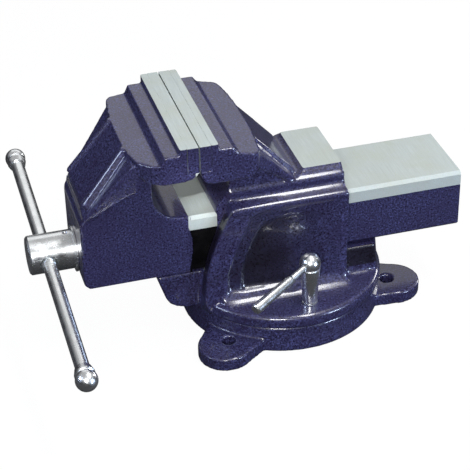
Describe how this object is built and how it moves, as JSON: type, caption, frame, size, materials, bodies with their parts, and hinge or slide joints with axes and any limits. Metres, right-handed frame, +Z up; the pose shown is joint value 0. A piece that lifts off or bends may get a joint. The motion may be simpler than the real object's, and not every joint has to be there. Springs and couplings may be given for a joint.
{
  "type": "bench vise",
  "caption": "Engineer's bench vise with a round swivel base, an anvil behind the fixed jaw, ground jaw plates and a sliding tommy bar on the screw.",
  "frame": {"origin": "centre of the base's underside, on the swivel axis", "axes": "+X along the slide towards the anvil, +Z up, and the handle at -X"},
  "size_m": [0.4124, 0.3667, 0.2234],
  "materials": {
    "enamel": "glossy hammertone enamel on cast iron",
    "ground_steel": "ground",
    "chrome_plate": "polished plate",
    "plain_steel": "oiled",
    "spring_steel": "blued",
    "nut_bronze": "machined bronze"
  },
  "bodies": {
    "base": {"swivel_base": "enamel", "pivot_bolt": "plain_steel", "pivot_washer": "plain_steel", "pivot_nut": "plain_steel"},
    "body": {"fixed_body": "enamel", "fixed_jaw_plate": "ground_steel", "fixed_plate_screws": "plain_steel", "lead_nut": "nut_bronze", "lead_nut_bolts": "plain_steel", "near_lock_stud": "plain_steel", "near_lock_washer": "chrome_plate", "far_lock_stud": "plain_steel", "far_lock_washer": "chrome_plate"},
    "jaw": {"moving_jaw": "enamel", "moving_jaw_plate": "ground_steel", "moving_plate_screws": "plain_steel"},
    "spindle": {"lead_screw": "plain_steel", "spindle_head": "chrome_plate", "head_pin": "plain_steel", "thrust_washer": "chrome_plate", "spindle_spring": "spring_steel", "spring_washer": "plain_steel", "cotter_pin": "plain_steel"},
    "bar": {"tommy_bar": "chrome_plate", "near_tommy_knob": "chrome_plate", "far_tommy_knob": "chrome_plate"},
    "near_lock": {"near_lock_nut": "chrome_plate", "near_lever_ball": "chrome_plate", "near_lock_lever": "chrome_plate"},
    "far_lock": {"far_lock_nut": "chrome_plate", "far_lever_ball": "chrome_plate", "far_lock_lever": "chrome_plate"}
  },
  "joints": [
    {"name": "swivel", "type": "hinge", "parent": "base", "child": "body", "pos_m": [0, 0, 0.0262], "axis": [0, 0, 1], "continuous": true},
    {"name": "jaw_slide", "type": "slide", "parent": "body", "child": "jaw", "axis": [-1, 0, 0], "range_m": [-0.0011, 0.1402]},
    {"name": "spindle_spin", "type": "hinge", "parent": "jaw", "child": "spindle", "pos_m": [-0.2, 0, 0.0935], "axis": [-1, 0, 0], "range_deg": [-72, 10080]},
    {"name": "bar_slide", "type": "slide", "parent": "spindle", "child": "bar", "axis": [0, 0.9981, 0.061], "range_m": [-0.13, 0.15]},
    {"name": "near_lock_turn", "type": "hinge", "parent": "body", "child": "near_lock", "pos_m": [0.006, -0.077, 0.055], "axis": [0, 0, 1], "range_deg": [-30, 90]},
    {"name": "far_lock_turn", "type": "hinge", "parent": "body", "child": "far_lock", "pos_m": [0.006, 0.077, 0.055], "axis": [0, 0, 1], "range_deg": [-90, 30]}
  ],
  "couplings": [
    {"joint": "jaw_slide", "follows": "spindle_spin", "m_per_rad": 0.00079577}
  ]
}
